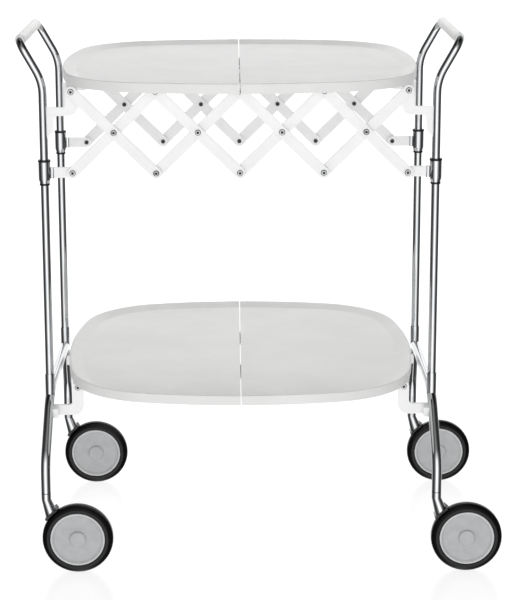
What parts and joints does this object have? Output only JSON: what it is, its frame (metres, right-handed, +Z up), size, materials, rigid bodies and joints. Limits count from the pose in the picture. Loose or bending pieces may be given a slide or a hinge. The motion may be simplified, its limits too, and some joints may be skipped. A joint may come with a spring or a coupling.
{
  "type": "folding serving trolley",
  "caption": "Folding serving trolley on casters: trays hinged across the middle, side frames with grip handles, scissor links and sliding sleeves.",
  "frame": {"origin": "centre of the footprint (middle of the overall length and width) on the floor under the wheels", "axes": "+Z up; +X from the left side frame to the right one, the way the casters trail at rest; +Y from the front edge of the trays to the rear"},
  "size_m": [0.7024, 0.544, 0.78],
  "materials": {
    "chrome_tube": "bright chrome plate on drawn tube",
    "chrome_leg": "bright chrome plate on bent tube",
    "chrome_sleeve": "bright chrome plate",
    "chrome_stem": "bright chrome plate on a cast elbow",
    "white_grip": "smooth satin moulded sleeve",
    "white_bracket": "satin white powder coat",
    "white_link": "satin white powder coat",
    "white_tray": "satin white moulding",
    "black_ring": "satin black moulding",
    "steel_pin": "turned steel",
    "steel_screw": "bright plated screw",
    "black_hood": "satin black moulding",
    "tyre": "smooth black rubber",
    "grey_hub": "satin grey moulding"
  },
  "bodies": {
    "left_frame": {"left_handle_tube": "chrome_tube", "left_grip": "white_grip", "left_leg_arch": "chrome_leg", "left_brackets": "white_bracket", "left_frame_screws": "steel_screw"},
    "left_slider": {"left_sleeves": "chrome_sleeve", "left_sleeve_rings": "black_ring", "left_slider_arms": "white_bracket", "left_slider_screws": "steel_screw"},
    "right_frame": {"right_handle_tube": "chrome_tube", "right_grip": "white_grip", "right_leg_arch": "chrome_leg", "right_brackets": "white_bracket", "right_frame_screws": "steel_screw"},
    "right_slider": {"right_sleeves": "chrome_sleeve", "right_sleeve_rings": "black_ring", "right_slider_arms": "white_bracket", "right_slider_screws": "steel_screw"},
    "top_tray_left": {"top_tray_left": "white_tray", "top_hinge_pins": "steel_pin"},
    "top_tray_right": {"top_tray_right": "white_tray"},
    "lower_tray_left": {"lower_tray_left": "white_tray", "lower_hinge_pins": "steel_pin"},
    "lower_tray_right": {"lower_tray_right": "white_tray"},
    "falling_link_1": {"falling_links_1": "white_link", "falling_screws_1": "steel_screw"},
    "falling_link_2": {"falling_links_2": "white_link", "falling_screws_2": "steel_screw"},
    "falling_link_3": {"falling_links_3": "white_link", "falling_screws_3": "steel_screw"},
    "falling_link_4": {"falling_links_4": "white_link", "falling_screws_4": "steel_screw"},
    "rising_link_1": {"rising_links_1": "white_link", "rising_screws_1": "steel_screw"},
    "rising_link_2": {"rising_links_2": "white_link", "rising_screws_2": "steel_screw"},
    "rising_link_3": {"rising_links_3": "white_link", "rising_screws_3": "steel_screw"},
    "rising_link_4": {"rising_links_4": "white_link", "rising_screws_4": "steel_screw"},
    "front_left_caster": {"front_left_stem": "chrome_stem", "front_left_fork": "black_hood", "front_left_axle": "steel_pin"},
    "front_left_wheel": {"front_left_tyre": "tyre", "front_left_hub": "grey_hub"},
    "front_right_caster": {"front_right_stem": "chrome_stem", "front_right_fork": "black_hood", "front_right_axle": "steel_pin"},
    "front_right_wheel": {"front_right_tyre": "tyre", "front_right_hub": "grey_hub"},
    "rear_left_caster": {"rear_left_stem": "chrome_stem", "rear_left_fork": "black_hood", "rear_left_axle": "steel_pin"},
    "rear_left_wheel": {"rear_left_tyre": "tyre", "rear_left_hub": "grey_hub"},
    "rear_right_caster": {"rear_right_stem": "chrome_stem", "rear_right_fork": "black_hood", "rear_right_axle": "steel_pin"},
    "rear_right_wheel": {"rear_right_tyre": "tyre", "rear_right_hub": "grey_hub"}
  },
  "joints": [
    {"name": "fold", "type": "hinge", "parent": "left_frame", "child": "top_tray_left", "pos_m": [-0.27025, 0, 0.7015], "axis": [0, -1, 0], "range_deg": [0, 73.41]},
    {"name": "top_middle_hinge", "type": "hinge", "parent": "top_tray_left", "child": "top_tray_right", "pos_m": [-0.03025, 0, 0.713], "axis": [0, -1, 0], "range_deg": [-147.02, 0.2]},
    {"name": "top_right_pivot", "type": "hinge", "parent": "top_tray_right", "child": "right_frame", "pos_m": [0.20975, 0, 0.7015], "axis": [0, -1, 0], "range_deg": [-0.2, 73.61]},
    {"name": "lower_left_pivot", "type": "hinge", "parent": "left_frame", "child": "lower_tray_left", "pos_m": [-0.27025, 0, 0.2625], "axis": [0, -1, 0], "range_deg": [-0.2, 73.61]},
    {"name": "lower_middle_hinge", "type": "hinge", "parent": "lower_tray_left", "child": "lower_tray_right", "pos_m": [-0.03025, 0, 0.274], "axis": [0, -1, 0], "range_deg": [-147.02, 0.2]},
    {"name": "falling_1_pivot", "type": "hinge", "parent": "left_frame", "child": "falling_link_1", "pos_m": [-0.27025, 0, 0.7015], "axis": [0, 1, 0], "range_deg": [-0.2, 35.93]},
    {"name": "rising_1_pivot", "type": "hinge", "parent": "falling_link_1", "child": "rising_link_1", "pos_m": [-0.21025, 0, 0.64271], "axis": [0, 1, 0], "range_deg": [-71.66, 0.2]},
    {"name": "rising_2_pivot", "type": "hinge", "parent": "falling_link_1", "child": "rising_link_2", "pos_m": [-0.15025, 0, 0.58392], "axis": [0, 1, 0], "range_deg": [-71.66, 0.2]},
    {"name": "falling_2_pivot", "type": "hinge", "parent": "rising_link_2", "child": "falling_link_2", "pos_m": [-0.09025, 0, 0.64271], "axis": [0, 1, 0], "range_deg": [-0.2, 71.66]},
    {"name": "left_slider_pivot", "type": "hinge", "parent": "rising_link_1", "child": "left_slider", "pos_m": [-0.27025, 0, 0.58392], "axis": [0, 1, 0], "range_deg": [-0.2, 35.93]},
    {"name": "rising_4_pivot", "type": "hinge", "parent": "right_frame", "child": "rising_link_4", "pos_m": [0.20975, 0, 0.7015], "axis": [0, 1, 0], "range_deg": [-35.93, 0.2]},
    {"name": "falling_4_pivot", "type": "hinge", "parent": "rising_link_4", "child": "falling_link_4", "pos_m": [0.14975, 0, 0.64271], "axis": [0, 1, 0], "range_deg": [-0.2, 71.66]},
    {"name": "falling_3_pivot", "type": "hinge", "parent": "rising_link_4", "child": "falling_link_3", "pos_m": [0.08975, 0, 0.58392], "axis": [0, 1, 0], "range_deg": [-0.2, 71.66]},
    {"name": "rising_3_pivot", "type": "hinge", "parent": "falling_link_3", "child": "rising_link_3", "pos_m": [0.02975, 0, 0.64271], "axis": [0, 1, 0], "range_deg": [-71.66, 0.2]},
    {"name": "right_slider_pivot", "type": "hinge", "parent": "falling_link_4", "child": "right_slider", "pos_m": [0.20975, 0, 0.58392], "axis": [0, 1, 0], "range_deg": [-35.93, 0.2]},
    {"name": "front_left_swivel", "type": "hinge", "parent": "left_frame", "child": "front_left_caster", "pos_m": [-0.31475, -0.197, 0.121], "axis": [0, 0, 1], "continuous": true},
    {"name": "front_left_spin", "type": "hinge", "parent": "front_left_caster", "child": "front_left_wheel", "pos_m": [-0.26975, -0.197, 0.052], "axis": [0, 1, 0], "continuous": true},
    {"name": "front_right_swivel", "type": "hinge", "parent": "right_frame", "child": "front_right_caster", "pos_m": [0.25425, -0.197, 0.121], "axis": [0, 0, 1], "continuous": true},
    {"name": "front_right_spin", "type": "hinge", "parent": "front_right_caster", "child": "front_right_wheel", "pos_m": [0.29925, -0.197, 0.052], "axis": [0, 1, 0], "continuous": true},
    {"name": "rear_left_swivel", "type": "hinge", "parent": "left_frame", "child": "rear_left_caster", "pos_m": [-0.31475, 0.197, 0.121], "axis": [0, 0, 1], "continuous": true},
    {"name": "rear_left_spin", "type": "hinge", "parent": "rear_left_caster", "child": "rear_left_wheel", "pos_m": [-0.26975, 0.197, 0.052], "axis": [0, 1, 0], "continuous": true},
    {"name": "rear_right_swivel", "type": "hinge", "parent": "right_frame", "child": "rear_right_caster", "pos_m": [0.25425, 0.197, 0.121], "axis": [0, 0, 1], "continuous": true},
    {"name": "rear_right_spin", "type": "hinge", "parent": "rear_right_caster", "child": "rear_right_wheel", "pos_m": [0.29925, 0.197, 0.052], "axis": [0, 1, 0], "continuous": true}
  ],
  "couplings": [
    {"joint": "top_middle_hinge", "follows": "fold", "ratio": -2},
    {"joint": "top_right_pivot", "follows": "fold", "ratio": 1},
    {"joint": "lower_left_pivot", "follows": "fold", "ratio": 1},
    {"joint": "lower_middle_hinge", "follows": "fold", "ratio": -2},
    {"joint": "falling_1_pivot", "follows": "fold", "ratio": 0.48673},
    {"joint": "rising_1_pivot", "follows": "fold", "ratio": -0.97345},
    {"joint": "rising_2_pivot", "follows": "fold", "ratio": -0.97345},
    {"joint": "falling_2_pivot", "follows": "fold", "ratio": 0.97345},
    {"joint": "left_slider_pivot", "follows": "fold", "ratio": 0.48673},
    {"joint": "rising_4_pivot", "follows": "fold", "ratio": -0.48673},
    {"joint": "falling_4_pivot", "follows": "fold", "ratio": 0.97345},
    {"joint": "falling_3_pivot", "follows": "fold", "ratio": 0.97345},
    {"joint": "rising_3_pivot", "follows": "fold", "ratio": -0.97345},
    {"joint": "right_slider_pivot", "follows": "fold", "ratio": -0.48673}
  ]
}
